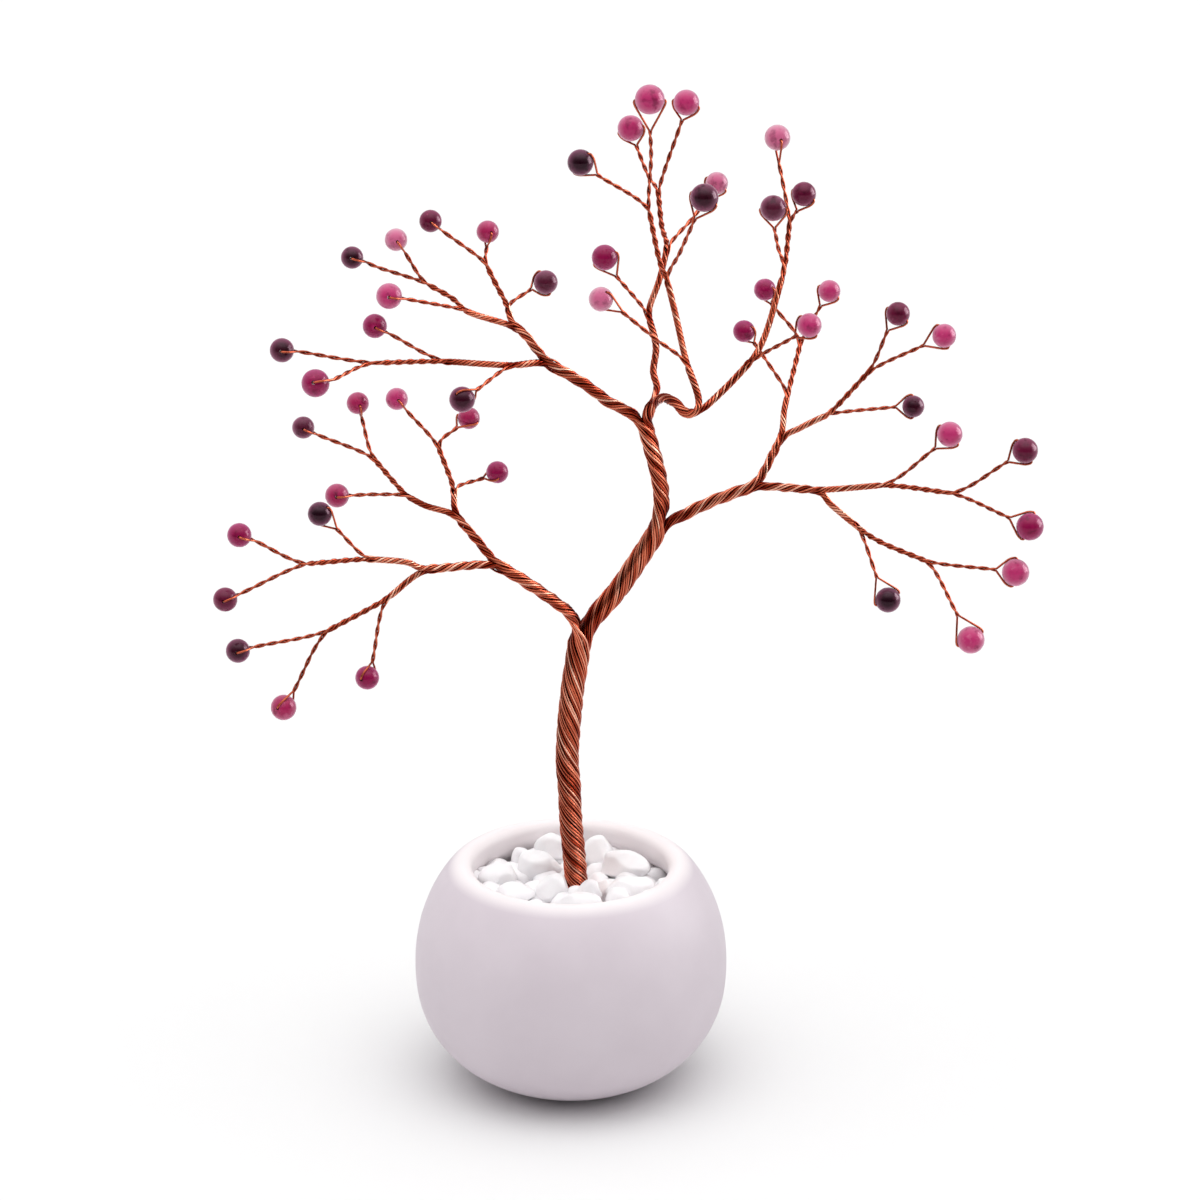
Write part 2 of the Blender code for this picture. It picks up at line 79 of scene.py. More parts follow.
def put_in_scene(name, data):
    """An object for a mesh, a lamp or a camera."""
    made = bpy.data.objects.new(name, data)
    bpy.context.scene.collection.objects.link(made)
    return made


def curve_point(a, b, c, d, share):
    """The point at a share of the way from b to c, on a smooth line that comes from a and goes on to d."""
    return 0.5 * (2 * b + (c - a) * share + (2 * a - 5 * b + 4 * c - d) * share**2
                  + (3 * b - a - 3 * c + d) * share**3)


def rounded(points, pieces):
    """A smooth line through the points, which passes every one of them."""
    points = [np.array(p, float) for p in points]
    knots = [2 * points[0] - points[1], *points, 2 * points[-1] - points[-2]]
    line = [points[0]]
    for a, b, c, d in zip(knots, knots[1:], knots[2:], knots[3:]):
        line += [curve_point(a, b, c, d, i / pieces) for i in range(1, pieces + 1)]
    return line


def pot_outside(height):
    """The radius of the pot's outside at a height: a full bowl below the waist, a rounder shoulder above."""
    rise = height - POT_WAIST_HEIGHT
    shoulder, bowl = (POT_SHOULDER_RISE, POT_SHOULDER_FULLNESS), (POT_BOWL_DEPTH, POT_BOWL_FULLNESS)
    reach, fullness = shoulder if rise > 0 else bowl
    return POT_RADIUS * (1 - (abs(rise) / reach) ** fullness) ** (1 / fullness)


def pot_inside(height):
    """The radius of the hollow at a height."""
    if height > POT_WAIST_HEIGHT:
        return pot_outside(height) - POT_WALL
    drop = (POT_WAIST_HEIGHT - height) / (POT_WAIST_HEIGHT - POT_FLOOR + POT_HOLLOW_BELOW_FLOOR)
    return (POT_RADIUS - POT_WALL) * (1 - drop**POT_HOLLOW_FULLNESS) ** (1 / POT_HOLLOW_FULLNESS)


def in_mm(points):
    return [(r * MM, z * MM) for r, z in points]


def spun(name, section, turns):
    """A half section spun once round the upright, with its seam closed and its faces outwards."""
    mesh = bpy.data.meshes.new(name)
    mesh.from_pydata([(r, 0, z) for r, z in section], [(i, i + 1) for i in range(len(section) - 1)], [])
    made = put_in_scene(name, mesh)
    take_up(made)
    bpy.ops.object.mode_set(mode="EDIT")
    bpy.ops.mesh.select_all(action="SELECT")
    bpy.ops.mesh.spin(steps=turns, angle=math.tau, center=(0, 0, 0), axis=(0, 0, 1))
    bpy.ops.mesh.select_all(action="SELECT")
    bpy.ops.mesh.remove_doubles(threshold=SEAM_GAP)
    bpy.ops.mesh.normals_make_consistent(inside=False)
    bpy.ops.object.mode_set(mode="OBJECT")
    return made


def turn_pot():
    """Spins the pot's half section: foot from its middle, side, lip, throat and hollow."""
    edge = pot_outside(0)
    foot = [(0, POT_FOOT_RECESS)] + [(edge - inset * MM, z * MM) for inset, z in POT_FOOT]
    foot.append((pot_outside(POT_FOOT_RECESS) - 0.05 * MM, POT_FOOT_RECESS))
    side = [(pot_outside(z * MM), z * MM) for z in np.linspace(1.1, 51.6, 34).tolist()]
    hollow = [(pot_inside(z * MM), z * MM) for z in np.linspace(41, 5.3, 20).tolist()]
    floor = [(pot_inside(5.1 * MM) - 1 * MM, POT_FLOOR), (0, POT_FLOOR)]
    section = foot + side + in_mm(rounded(POT_LIP, 2)) + in_mm(POT_THROAT) + hollow + floor
    pot = spun("pot_body", section, POT_TURNS)
    bpy.ops.object.shade_smooth_by_angle(angle=math.radians(POT_CREASE))
    return pot


def new_material(name):
    """A material and its tree, with the principled shader left as it comes."""
    made = bpy.data.materials.new(name)
    made.use_nodes = True
    return made, made.node_tree, made.node_tree.nodes["Principled BSDF"]


def noise(tree, scale, detail, roughness=0.5):
    """Noise on the piece's own Object coordinates, where the scale is in lumps to the metre."""
    where = tree.nodes.new("ShaderNodeTexCoord")
    made = tree.nodes.new("ShaderNodeTexNoise")
    made.inputs["Scale"].default_value = scale
    made.inputs["Detail"].default_value = detail
    made.inputs["Roughness"].default_value = roughness
    tree.links.new(where.outputs["Object"], made.inputs["Vector"])
    return made.outputs["Fac"]


def ramp(tree, source, stops):
    """Colours along a value."""
    made = tree.nodes.new("ShaderNodeValToRGB")
    stop_list = made.color_ramp.elements
    while len(stop_list) < len(stops):
        stop_list.new(1)
    for stop, (place, colour) in zip(stop_list, stops):
        stop.position = place
        stop.color = (*colour, 1)
    tree.links.new(source, made.inputs["Fac"])
    return made.outputs["Color"]


def bump(tree, shader, height, distance, strength):
    """Fine relief, where the distance is how deep it would be at full strength."""
    made = tree.nodes.new("ShaderNodeBump")
    made.inputs["Strength"].default_value = strength
    made.inputs["Distance"].default_value = distance
    tree.links.new(height, made.inputs["Height"])
    tree.links.new(made.outputs["Normal"], shader.inputs["Normal"])


def uneven_gloss(tree, shader, scale, detail, smooth, rough):
    """Roughness that wanders between two values."""
    gloss = ramp(tree, noise(tree, scale, detail), [(0.3, (smooth,) * 3), (0.7, (rough,) * 3)])
    tree.links.new(gloss, shader.inputs["Roughness"])


def attribute(tree, name):
    made = tree.nodes.new("ShaderNodeAttribute")
    made.attribute_name = name
    return made.outputs["Fac"]


def mixed(tree, mode, share, first, second):
    """Two colours mixed by a value or by a fixed share."""
    made = tree.nodes.new("ShaderNodeMix")
    made.data_type = "RGBA"
    made.blend_type = mode
    if isinstance(share, float):
        made.inputs["Factor"].default_value = share
    else:
        tree.links.new(share, made.inputs["Factor"])
    for place, value in ((MIX_FIRST, first), (MIX_SECOND, second)):
        socket = made.inputs[place]
        if isinstance(value, tuple):
            socket.default_value = (*value, 1)
        else:
            tree.links.new(value, socket)
    return made.outputs[MIX_RESULT]


def mark_painted_mouth_light(pot):
    """Stores how near each point is to the pot's opening, which sets its painted light: 0 on the body, 1 on
    the lip and inside.
    """
    near = []
    for point in pot.data.vertices:
        height = point.co.z
        inside = height > POT_FLOOR / 2 and point.co.xy.length < pot_outside(height) - POT_WALL_AT_LEAST
        near.append(1.0 if inside else min(1, max(0, (height - LIP_PAINTED_LIGHT_FROM) / LIP_PAINTED_LIGHT_FADE)))
    pot.data.attributes.new("mouth_painted_light", "FLOAT", "POINT").data.foreach_set("value", near)


def matt_glaze():
    made, tree, shader = new_material("matt_glaze")
    cloud = noise(tree, 60, 3)
    body = ramp(tree, cloud, [(0.3, (0.68, 0.605, 0.66)), (0.7, (0.72, 0.645, 0.70))])
    # Painted light: the lip and the inside of the hollow get a paler colour than the body, which lightens the
    # shade inside the pot and brightens the lip.
    mouth_painted_light = ramp(tree, cloud, [(0.3, (0.92, 0.86, 0.87)), (0.7, (0.95, 0.89, 0.90))])
    tree.links.new(mixed(tree, "MIX", attribute(tree, "mouth_painted_light"), body, mouth_painted_light), shader.inputs["Base Color"])
    uneven_gloss(tree, shader, 220, 4, 0.48, 0.58)
    shader.inputs["Specular IOR Level"].default_value = 0.28
    bump(tree, shader, noise(tree, 900, 6, 0.6), 0.03 * MM, 0.35)
    return made


pot = turn_pot()
mark_painted_mouth_light(pot)
pot.data.materials.append(matt_glaze())
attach(pot, "root")
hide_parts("pot")


# The pebbles. White quartz, tumbled until its broken faces are soft, poured round the wires. The large ones
# lie on a bed of smaller ones that fills the pot.
PEBBLES = [
    ((-17.6, 3.6, 49.4), (9.6, 7.4, 6.8), 20, 1),
    ((-12.9, -5.4, 48.9), (9.6, 6.4, 5.8), -12, 2),
    ((-12.2, 16.4, 48.8), (5.0, 4.6, 6.0), 10, 3),
    ((-5.0, 18.6, 50.2), (8.4, 6.6, 8.6), 0, 4),
    ((-7.4, 8.8, 49.6), (10.6, 7.0, 7.6), -8, 5),
    ((-4.2, -5.6, 50.0), (8.2, 6.0, 8.2), 25, 6),
    ((4.4, -5.4, 49.6), (6.2, 3.4, 6.2), -18, 7),
    ((2.4, -11.2, 48.8), (10.4, 5.4, 6.0), 0, 8),
    ((6.8, 17.2, 50.0), (8.0, 8.0, 8.6), 30, 38),
    ((13.4, 8.6, 50.0), (12.6, 8.0, 8.4), -20, 41),
    ((14.2, -2.4, 48.9), (12.0, 6.8, 6.2), 12, 11),
]
SMALL_PEBBLES = [
    ((-17.4, 12.8, 46.6), (4.6, 4.4, 7.0), 0),
    ((-9.6, -12.6, 45.4), (6.0, 4.2, 5.0), 10),
    ((10.2, -9.4, 45.6), (4.4, 3.8, 5.4), 30),
    ((7.6, 2.6, 45.2), (5.0, 5.0, 5.0), 0),
    ((0.9, -4.6, 48.5), (4.8, 3.6, 4.6), 15),
]
STONE_PROUD = 0.1
STONE_BREAKS = 11
BREAK_DEPTH = (0.76, 0.96)
STONE_WEAR = 20
STONE_TAPER = 0.5
STONE_WAVE = 0.09
SHOWN_GRAIN, SMALL_GRAIN, BED_GRAIN = 0.055, 0.09, 0.13
BED_TOP = 46.6 * MM
BED_RINGS = [(23.2, 23), (18.8, 18), (14.0, 13), (9.0, 8)]
BED_STONE = (5.2, 7.4)
BED_UNEVEN = 0.1
HEAP_TURNS = 48
HEAP_GAP = 0.8 * MM
HEAP_SIDE = (5.4, 8, 13, 20, 30, 38, 43.5)
HEAP_TOP = [(18, 44.2), (10, 44.0), (3.6, 44.4), (3.6, 29), (0, 29)]


def fitted(points):
    """The points moved to the middle and stretched to fill a box one unit each way."""
    low, high = points.min(0), points.max(0)
    return (points - (low + high) / 2) / (high - low)


def tumbled_stone(name, size, seed, grain):
    """A ball with a few faces broken off it, worn round and pressed to the size, its middle at the origin."""
    chance = random.Random(seed)
    bpy.ops.object.select_all(action="DESELECT")
    bpy.ops.mesh.primitive_ico_sphere_add(subdivisions=4, radius=1.0)
    stone = bpy.context.object
    stone.name = stone.data.name = name
    bpy.ops.object.mode_set(mode="EDIT")
    for _ in range(STONE_BREAKS):
        level = Vector([chance.gauss(0, 1) for _ in range(3)]).normalized()
        bpy.ops.mesh.select_all(action="SELECT")
        bpy.ops.mesh.bisect(plane_co=level * chance.uniform(*BREAK_DEPTH), plane_no=level, use_fill=True,
                            clear_outer=True)
    bpy.ops.object.mode_set(mode="OBJECT")
    take_up(stone)
    remesh = stone.modifiers.new("Whole", "REMESH")
    remesh.mode = "VOXEL"
    remesh.voxel_size = grain
    wear = stone.modifiers.new("Worn", "SMOOTH")
    wear.factor = 0.6
    wear.iterations = STONE_WEAR
    bpy.ops.object.modifier_apply(modifier="Whole")
    bpy.ops.object.modifier_apply(modifier="Worn")
    points = fitted(np.array([v.co for v in stone.data.vertices]))
    points[:, 1:] *= 1 + (chance.uniform(-STONE_TAPER, STONE_TAPER) * points[:, 0:1])
    points *= 1 + STONE_WAVE * np.sin(4.5 * points[:, [1, 2, 0]] + seed)
    stone.data.vertices.foreach_set("co", (fitted(points) * np.array(size)).ravel())
    stone.data.shade_smooth()
    return stone


def lay_stone(stone, place, turn):
    """Turns a stone about the upright and puts it at its place, in its mesh."""
    stone.data.transform(Matrix.Translation(place) @ Matrix.Rotation(math.radians(turn), 4, "Z"))


def white_quartz():
    made, tree, shader = new_material("white_quartz")
    shade = ramp(tree, noise(tree, 260, 4), [(0.3, (0.90, 0.875, 0.895)), (0.62, (0.96, 0.945, 0.96))])
    tree.links.new(shade, shader.inputs["Base Color"])
    uneven_gloss(tree, shader, 500, 3, 0.32, 0.5)
    shader.inputs["Subsurface Weight"].default_value = 0.25
    shader.inputs["Subsurface Radius"].default_value = (1.0, 0.95, 0.95)
    shader.inputs["Subsurface Scale"].default_value = 2.2 * MM
    bump(tree, shader, noise(tree, 1400, 5, 0.6), 0.04 * MM, 0.4)
    return made


quartz = white_quartz()
for number, (place, size, turn, seed) in enumerate(PEBBLES, 1):
    stone = tumbled_stone(f"stone_{number:02d}", [(s + STONE_PROUD) * MM for s in size], seed, SHOWN_GRAIN)
    lay_stone(stone, MM * Vector(place), turn)
    stone.data.materials.append(quartz)
    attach(stone, "root")
    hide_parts(f"pebble_{number:02d}")


def copied(model):
    """A copy of a model, with a mesh of its own."""
    made = model.copy()
    made.data = model.data.copy()
    bpy.context.scene.collection.objects.link(made)
    return made


def make_bed():
    """The small stones that show between the large ones, over a low heap that fills the pot below them."""
    chance = random.Random(4)
    stones = []
    for number, (place, size, turn) in enumerate(SMALL_PEBBLES):
        stones.append(tumbled_stone("bed", [s * MM for s in size], 40 + number, SMALL_GRAIN))
        lay_stone(stones[-1], MM * Vector(place), turn)
    models = [tumbled_stone("bed", (1, 1, 1), 60 + number, BED_GRAIN) for number in range(4)]
    for ring, count in BED_RINGS:
        for i in range(count):
            stone = copied(chance.choice(models))
            size = [chance.uniform(*BED_STONE) * MM for _ in range(3)]
            stone.data.transform(Matrix.Diagonal(size + [1]))
            stone.data.transform(Matrix.Rotation(chance.uniform(0, math.tau), 4, "X"))
            angle = math.tau * (i + chance.uniform(-0.25, 0.25)) / count
            reach = (ring + chance.uniform(-0.8, 0.8)) * MM
            height = BED_TOP - chance.uniform(-BED_UNEVEN, BED_UNEVEN) * ring * MM
            place = (reach * math.cos(angle), reach * math.sin(angle), height)
            lay_stone(stone, place, chance.uniform(0, 360))
            stones.append(stone)
    for model in models:
        bpy.data.objects.remove(model)
    section = [(0, POT_FLOOR + HEAP_GAP / 2)]
    section += [(pot_inside(z * MM) - HEAP_GAP, z * MM) for z in HEAP_SIDE]
    heap = spun("pebble_heap", section + in_mm(HEAP_TOP), HEAP_TURNS)
    take_up(heap, *stones)
    bpy.ops.object.join()
    heap.name = heap.data.name = "pebble_heap"
    heap.data.shade_smooth()
    return heap


heap = make_bed()
heap.data.materials.clear()
heap.data.materials.append(quartz)
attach(heap, "root")
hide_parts("pebble_bed")


# The tree. Forty-six lengths of bare copper wire. Each is threaded through a bead and folded in two, and its
# halves are twisted into a twig. The twigs are twisted together into limbs, the limbs into boughs and those
# into the trunk.
WIRE = 0.51 * MM
WIRE_SIDES = 6
SMALL = 5.2 * MM
MEDIUM = 5.55 * MM
LARGE = 5.9 * MM
LARGER = 6.35 * MM
LARGEST = 6.7 * MM
LOOP_CLEARANCE = 0.3 * MM
WIRE_TO_BEAD = 0.01 * MM
HOLE_CORNER = 0.6 * MM
ROOT_LENGTH = 15.5 * MM
TRUNK_FOOT = Vector((1.5 * MM, 0, 45 * MM))
TRUNK_PITCH = (14.0 * MM, 33.0 * MM)
TWIG_PITCH = 6.2 * MM
TRUNK_EASING = 8
TRUNK_LOOSENS_FROM = 30 * MM
TRUNK_LOOSENS_OVER = 35 * MM
FOUR_WIRES = [(-0.87, 0), (0.87, 0), (0, -0.5), (0, 0.5)]
LAYER_FILL = 0.95
STRANDED_LAYER = 8
STRAND_WIRES = 3.6
STRAND_LIFT = 0.24
STRAND_DRAW = 0.13
WIRE_UNEVEN = 0.07
CORE_REACH = 0.3 * WIRE
CORE_TURN = 2.4
LIMB_WIRES = 8
PITCH_TO_WIDTH = (4.4, 5.4)
STEPS_IN_A_TURN = 18
LONGEST_STEP = 1.1 * MM
FORK_TO_WIDTH = 0.8
FORK_AT_MOST = 0.4
MERGE_TO_WIDTH = 2.4
MERGE_AT_MOST = 0.8
FIRST_IN_FRONT = 1.6
SHORTEST_LOOP = 1.08
TWIG_TONE = 0.24
TWIG_AT_MOST = 2.5 * WIRE
TONE_WAVE = 0.2
TONE_WAVE_LENGTH = 3.2 * MM
# Painted shade between the wires: a small fixed amount on the loops, and more on a wire sunk in its bundle.
LOOP_PAINTED_SHADE = 0.05
SUNK_PAINTED_SHADE = 1.6
NO_LENGTH = 1e-9


def limb(steps, *shoots):
    """A bundle that forks at its end. A step is a length in mm, a heading and a lean away from the viewer."""
    return {"steps": steps, "shoots": shoots}


def twig(steps, loop, size, roll):
    """A twisted pair of wires, and the loop at its end whose last step reaches the middle of a bead."""
    return {"steps": steps, "loop": loop, "size": size, "roll": roll}


# Headings are in the plane of the picture, anticlockwise from +X. A roll of 0 shows a loop from its open
# side, and a roll of 90 shows it edge-on, with the bead's hole facing the viewer.
LEFT_LOW_BOUGH = limb(
    [(10, 128, -31), (11, 137, -21), (8.5, 143, -13)],
    limb(
        [(7.5, 132, 15), (7.5, 135, 24)],
        limb(
            [(7.5, 163, 8), (5, 154, 11)],
            twig([(7.5, 172, -16), (6, 176, -18)], loop=(3, 181, -1), size=MEDIUM, roll=80),
            limb(
                [(12, 138, 30)],
                twig([(15, 158, 8)], loop=(3, 151, -1), size=SMALL, roll=80),
                twig([(11.5, 111, 38)], loop=(3, 103, -1), size=SMALL, roll=75),
            ),
        ),
        limb(
            [(6.5, 97, 37)],
            twig([(9.5, 8, 40)], loop=(3, 24, 0), size=SMALL, roll=70),
            limb(
                [(11, 114, 34)],
                twig([(11.5, 134, 20)], loop=(3.5, 128, 0), size=SMALL, roll=75),
                twig([(7, 40, 35)], loop=(4.5, 22, 53), size=SMALL, roll=60),
            ),
        ),
    ),
    limb(
        [(16.5, 177, -18)],
        limb(
            [(6.5, 153, -25), (8.5, 172, -8)],
            twig([(10.5, 135, 0)], loop=(5, 136, 0), size=MEDIUM, roll=20),
            limb(
                [(14.5, 179, -16)],
                twig([(14, 152, -8)], loop=(3, 159, 0), size=MEDIUM, roll=80),
                twig([(17.5, 199, -20)], loop=(3, 202, 0), size=MEDIUM, roll=80),
            ),
        ),
        limb(
            [(12, 211, -19)],
            twig([(16, 257, 0)], loop=(4, 252, 0), size=MEDIUM, roll=60),
            limb(
                [(15.5, 204, -19)],
                twig([(17.5, 190, -9)], loop=(3.5, 194, -1), size=MEDIUM, roll=80),
                twig([(16, 239, -18)], loop=(4.5, 239, 0), size=LARGE, roll=60),
            ),
        ),
    ),
)

LEFT_HIGH_BOUGH = limb(
    [(8, 154, 0), (8.5, 139, -14), (10, 146, -11)],
    limb(
        [(9, 131, 12), (3.5, 155, 35)],
        limb(
            [(5, 109, 39)],
            twig([(8, 28, 38)], loop=(3.5, 26, -1), size=MEDIUM, roll=20),
            limb(
                [(6, 121, 29), (5.5, 118, 21)],
                twig([(13, 142, 0)], loop=(3, 139, 0), size=SMALL, roll=80),
                twig([(5.5, 86, 55)], loop=(3, 86, 12), size=SMALL, roll=70),
            ),
        ),
        limb(
            [(9, 159, -12), (3.5, 151, -17)],
            twig([(15.5, 161, -26)], loop=(3.5, 170, -1), size=LARGE, roll=80),
            limb(
                [(4.5, 146, 40), (7, 154, 17)],
                twig([(8.5, 125, 14)], loop=(3.5, 123, -1), size=SMALL, roll=80),
                twig([(12.5, 170, 29), (4.5, 168, 36)], loop=(3, 162, 4), size=SMALL, roll=80),
            ),
        ),
    ),
    limb(
        [(9.5, 174, -26)],
        twig([(12, 204, -41)], loop=(3.5, 214, -1), size=LARGE, roll=40),
        limb(
            [(15.5, 173, -11)],
            twig([(15, 156, 12)], loop=(3, 150, -2), size=MEDIUM, roll=80),
            limb(
                [(16.5, 177, -14)],
                twig([(17.5, 172, 3)], loop=(3.5, 176, 2), size=MEDIUM, roll=80),
                twig([(13, 188, -44)], loop=(3.5, 192, 1), size=LARGER, roll=70),
            ),
        ),
    ),
)

REAR_TOP_LIMB = limb(
    [(4, 78, 48), (3.5, 105, 17), (6, 84, 10), (7.5, 104, 0)],
    twig([(13, 126, -13)], loop=(5, 121, -1), size=LARGE, roll=10),
    limb(
        [(8.5, 72, 14), (7.5, 75, 22)],
        twig([(9.5, 44, 33), (5.5, 47, 32)], loop=(5, 59, 1), size=SMALL, roll=20),
        limb(
            [(7, 102, -25), (8, 96, -6)],
            twig([(17.5, 72, 6)], loop=(4, 77, 1), size=LARGE, roll=15),
            twig([(6.5, 116, -29), (8, 110, -14)], loop=(4, 108, 0), size=LARGE, roll=15),
        ),
    ),
)

FRONT_TOP_LIMB = limb(
    [(4, 92, 15), (8, 109, 0)],
    twig([(10, 138, -12), (10, 139, -5)], loop=(5.5, 148, -1), size=MEDIUM, roll=30),
    limb(
        [(10.5, 103, 5), (9, 104, 13)],
        twig([(9, 70, -26), (10.5, 70, -23)], loop=(5, 67, 1), size=LARGER, roll=25),
        limb(
            [(5, 113, 23), (11.5, 102, 10)],
            twig([(16, 141, -18)], loop=(4.5, 143, 0), size=LARGE, roll=15),
            twig([(12, 88, -4), (7.5, 92, -16)], loop=(7, 91, 0), size=LARGEST, roll=0),
        ),
    ),
)

HOOK_RIGHT_LIMB = limb(
    [(9, 37, 27), (8, 45, 14)],
    twig([(13.5, 37, -22)], loop=(4, 40, 1), size=MEDIUM, roll=20),
    limb(
        [(7.5, 59, 23), (14, 73, 17)],
        twig([(7, 101, -9), (5.5, 101, -21)], loop=(4.5, 94, 0), size=LARGE, roll=15),
        limb(
            [(11, 83, 10)],
            twig([(5, 68, -22)], loop=(4, 70, -1), size=MEDIUM, roll=30),
            twig([(10, 99, 18), (4.5, 102, 12)], loop=(6, 94, 0), size=LARGE, roll=75),
        ),
    ),
)

HOOK = limb(
    [(3, 60, -22), (3, 65, -19)],
    REAR_TOP_LIMB,
    limb(
        [(5, 43, -56), (4.5, 12, -60), (3, 323, -41), (2.5, 328, -24), (2, 22, 2)],
        FRONT_TOP_LIMB,
        HOOK_RIGHT_LIMB,
    ),
)

RIGHT_BOUGH = limb(
    [(3.5, 5, 17), (6.5, 25, 9), (6.5, 23, 0), (6.5, 20, 0)],
    limb(
        [(12, 59, 20)],
        limb(
            [(7.5, 79, 32), (4, 76, 29)],
            twig([(10.5, 126, 29), (4.5, 128, 26)], loop=(3.5, 130, -1), size=SMALL, roll=30),
            limb(
                [(12.5, 73, 34)],
                twig([(9.5, 126, 24), (3, 136, 40)], loop=(3.5, 114, 3), size=SMALL, roll=40),
                twig([(10.5, 62, 11)], loop=(4, 61, 0), size=SMALL, roll=20),
            ),
        ),
        limb(
            [(6, 31, 9), (7, 25, 8)],
            limb(
                [(13.5, 47, 4)],
                twig([(11, 65, 11)], loop=(4.5, 60, -1), size=MEDIUM, roll=25),
                twig([(15.5, 32, -15)], loop=(5, 26, 1), size=MEDIUM, roll=15),
            ),
            twig([(17, 1, 17)], loop=(4, 1, 0), size=SMALL, roll=15),
        ),
    ),
    limb(
        [(14, 0, -12)],
        limb(
            [(16.5, 9, -14)],
            twig([(15, 35, 7)], loop=(4.5, 46, 1), size=LARGE, roll=20),
            limb(
                [(16, -2, -15)],
                twig([(15.5, 33, -7)], loop=(4.5, 35, -1), size=LARGE, roll=15),
                twig([(16.5, -12, -37)], loop=(5, -24, 0), size=LARGER, roll=15),
            ),
        ),
        limb(
            [(5.5, -39, -12), (8, -38, -14)],
            twig([(13, -67, -33)], loop=(6, -64, 1), size=LARGE, roll=10),
            limb(
                [(7, -24, -34), (11.5, -17, -21)],
                twig([(16.5, -1, -18)], loop=(4.5, -9, 1), size=LARGER, roll=15),
                twig([(16, -55, -43)], loop=(6.5, -62, -1), size=LARGER, roll=10),
            ),
        ),
    ),
)

TRUNK = limb(
    [(10.5, 93, 0), (10.5, 95, 0), (10.5, 92, 0), (5, 96, 0), (15.5, 86, 0), (10, 82, 0), (9, 82, 0)],
    LEFT_LOW_BOUGH,
    limb(
        [(3, 48, 20), (6, 34, 9), (11.5, 57, 5), (6, 57, 0), (5.5, 61, 0)],
        limb([(10, 95, -6), (8, 103, -7), (8.5, 105, -6)], LEFT_HIGH_BOUGH, HOOK),
        RIGHT_BOUGH,
    ),
)


def count_wires(shoot):
    if "loop" in shoot:
        return 2
    return sum(count_wires(child) for child in shoot["shoots"])


def direction(heading, lean):
    across, back = math.radians(heading), math.radians(lean)
    return Vector((math.cos(back) * math.cos(across), math.sin(back), math.cos(back) * math.sin(across)))


def walk(start, steps):
    """The points that a run of steps reaches, from its start."""
    points = [start]
    for length, heading, lean in steps:
        points.append(points[-1] + length * MM * direction(heading, lean))
    return points


def smooth_path(points, before, spacing):
    """A curve through the points that leaves its start half way between the parent's way and its own."""
    after = points[-1] + (points[-1] - points[-2])
    knots = [before, *points, after]
    path = [points[0]]
    for a, b, c, d in zip(knots, knots[1:], knots[2:], knots[3:]):
        pieces = max(1, round((c - b).length / spacing))
        path += [curve_point(a, b, c, d, i / pieces) for i in range(1, pieces + 1)]
    return path


def rings_of(count):
    """How many wires lie in each layer of a bundle, from the outside in, six fewer in each."""
    outer = 1
    while True:
        outer += 1
        rings = list(range(outer, 0, -6))
        if outer % 6 == 0:
            rings.append(1)
        if sum(rings) >= count:
            return rings


def bundle_width(count):
    outer = rings_of(count)[0]
    return WIRE / math.sin(math.pi / outer) + WIRE


def slots_of(count, pitch, seed):
    """Where the wires lie across a bundle: in layers, with fewer wires in one the more they slant. The wires
    of a large bundle's layer lie in strands, which stand proud in the middle. Wires that are left over lie at
    the core. Four wires lie as a pair with one more on each side."""
    if count == 4:
        return WIRE * np.array(FOUR_WIRES)
    chance = random.Random(seed)
    places = []
    for ring in rings_of(count):
        radius = 0 if ring == 1 else WIRE / 2 / math.sin(math.pi / ring)
        slant = math.cos(math.atan(math.tau * radius / pitch))
        fits = ring if ring < 7 else round(LAYER_FILL * ring * slant)
        strands = max(3, round(fits / STRAND_WIRES))
        for i in range(min(fits, count - len(places))):
            angle = math.tau * i / fits
            lift = 0
            if ring > STRANDED_LAYER:
                away = angle - (math.floor(strands * angle / math.tau) + 0.5) * math.tau / strands
                uneven = chance.uniform(-WIRE_UNEVEN, WIRE_UNEVEN)
                lift = WIRE * (STRAND_LIFT * math.cos(strands * away) + uneven)
                angle -= STRAND_DRAW * away
            places.append(((radius + lift) * math.cos(angle), (radius + lift) * math.sin(angle)))
    while len(places) < count:
        angle = CORE_TURN * len(places)
        places.append((CORE_REACH * math.cos(angle), CORE_REACH * math.sin(angle)))
    return np.array(places)


def turned(places, angle):
    """Places across a bundle, turned about its middle."""
    c, s = math.cos(angle), math.sin(angle)
    return places @ np.array([[c, s], [-s, c]])


def nearest_slots(places, slots):
    """Gives each wire a slot near where it is, the outermost slots first, in the best of a few turns."""
    best = None
    for turn in np.linspace(0, math.tau, 24, endpoint=False):
        tried = turned(slots, turn)
        gaps = np.linalg.norm(tried[:, None] - places[None], axis=2)
        chosen, total = [-1] * len(slots), 0
        for slot in np.argsort(-np.linalg.norm(tried, axis=1), kind="stable"):
            wire = int(np.argmin(gaps[slot]))
            total += gaps[slot, wire]
            gaps[:, wire] = 9
            chosen[wire] = slot
        if best is None or total < best[0]:
            best = (total, tried[chosen])
    return best[1]


def smoothed(share):
    """A share held between 0 and 1, with a soft start and end."""
    share = min(1, max(0, share))
    return share * share * (3 - 2 * share)


def loop_radius(size):
    """How far from a bead's middle the wire runs round it."""
    return size / 2 + LOOP_CLEARANCE + WIRE / 2


def loop_plane(shoot):
    """The way from a bead back to its twig, how far off the twig ends, and the way of the bead's hole."""
    back = -direction(*shoot["loop"][1:])
    reach = max(shoot["loop"][0] * MM, SHORTEST_LOOP * loop_radius(shoot["size"]))
    roll = math.radians(shoot["roll"])
    in_picture = back.cross(Vector((0, 1, 0))).normalized()
    return back, reach, math.cos(roll) * in_picture + math.sin(roll) * back.cross(in_picture)


